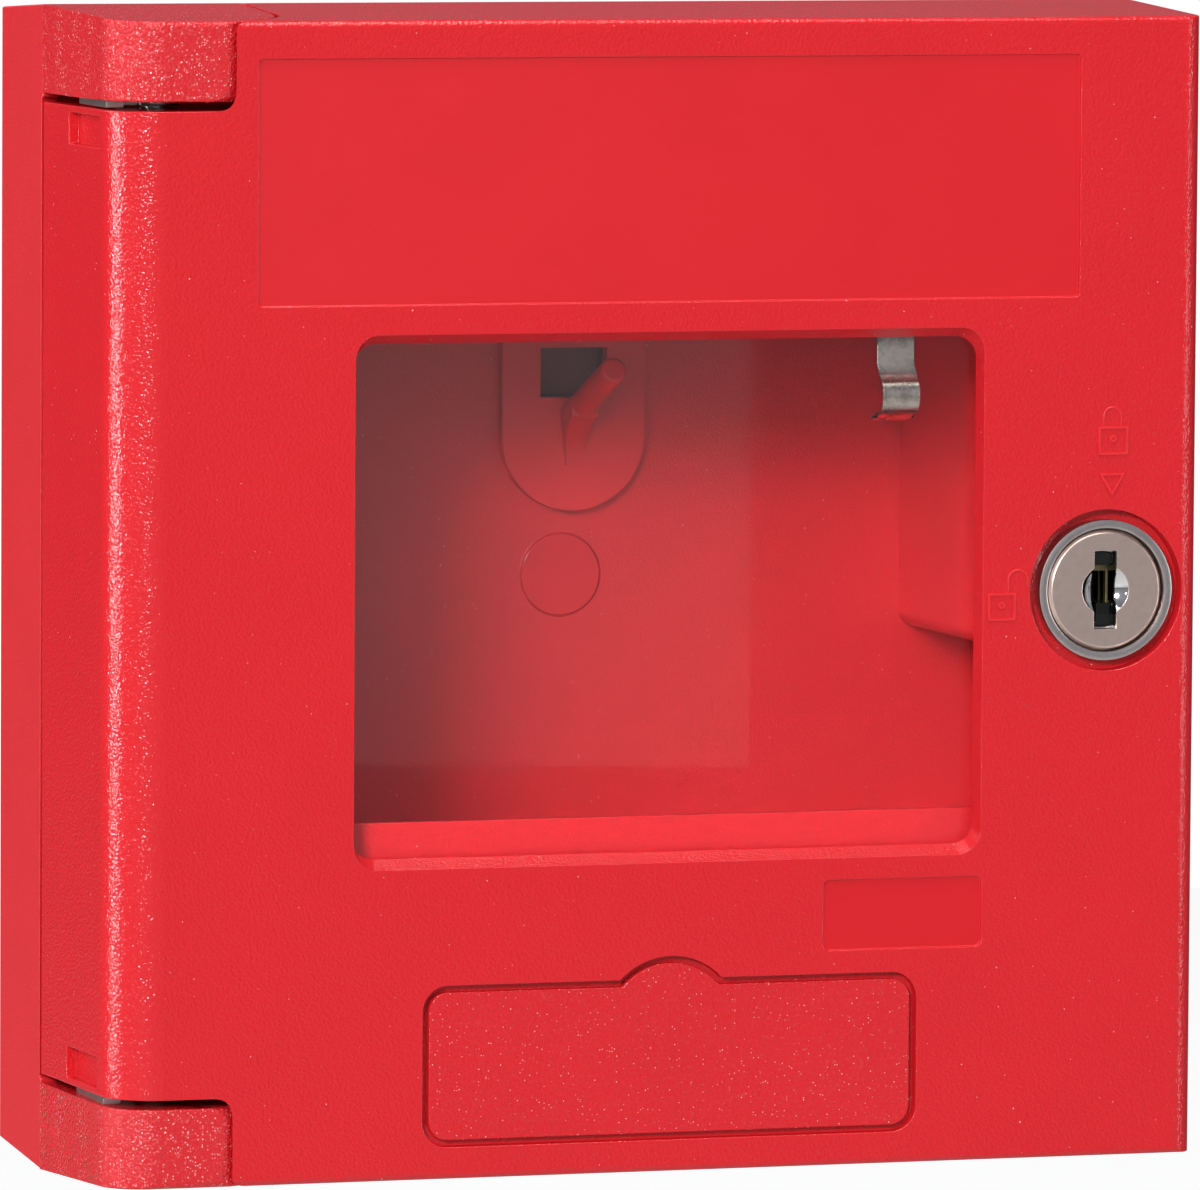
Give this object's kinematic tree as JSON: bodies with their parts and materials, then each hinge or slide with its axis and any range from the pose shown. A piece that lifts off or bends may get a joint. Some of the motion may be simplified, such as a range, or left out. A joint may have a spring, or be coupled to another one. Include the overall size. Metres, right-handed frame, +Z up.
{
  "type": "break glass key box",
  "caption": "Wall-mounted emergency key box with a hinged locking door, a breakable window pane and a hook for one key",
  "frame": {"origin": "centre of the base's back face, on the wall", "axes": "+Z up, -Y out of the wall towards the person at the door, +X to the lock side"},
  "size_m": [0.1402, 0.053, 0.1422],
  "materials": {
    "red_plastic": "moulded red plastic with a fine grain",
    "grained_red_plastic": "moulded red plastic with a coarse grain",
    "steel": "satin steel",
    "lock_chrome": "polished plating",
    "satin_nickel": "satin nickel plating",
    "brass": "plain brass",
    "clear_glass": "clear thin glass"
  },
  "bodies": {
    "base": {"base_shell": "red_plastic", "hinge_cap_top": "grained_red_plastic", "hinge_cap_bottom": "grained_red_plastic", "hinge_pin_top": "steel", "hinge_pin_bottom": "steel", "hinge_washer_top": "steel", "hinge_washer_bottom": "steel", "hinge_cap_screws": "steel", "key_hook": "red_plastic", "key_hook_screws": "steel", "lock_keeper": "red_plastic", "lock_keeper_screws": "steel"},
    "door": {"door_shell": "red_plastic", "glass_pane": "clear_glass", "pane_clip": "steel", "pane_clip_screw": "steel", "lower_cover": "grained_red_plastic", "lock_body": "lock_chrome", "lock_washer": "steel", "lock_nut": "steel"},
    "lock": {"lock_plug": "satin_nickel", "lock_wafers": "brass", "lock_cam": "steel", "lock_cam_screw": "steel"}
  },
  "joints": [
    {"name": "door_hinge", "type": "hinge", "parent": "base", "child": "door", "pos_m": [-0.0606, -0.0395, 0], "axis": [0, 0, -1], "range_deg": [0, 160]},
    {"name": "lock_turn", "type": "hinge", "parent": "door", "child": "lock", "pos_m": [0.0568, -0.04, -0.0002], "axis": [0, -1, 0], "range_deg": [0, 90]}
  ]
}
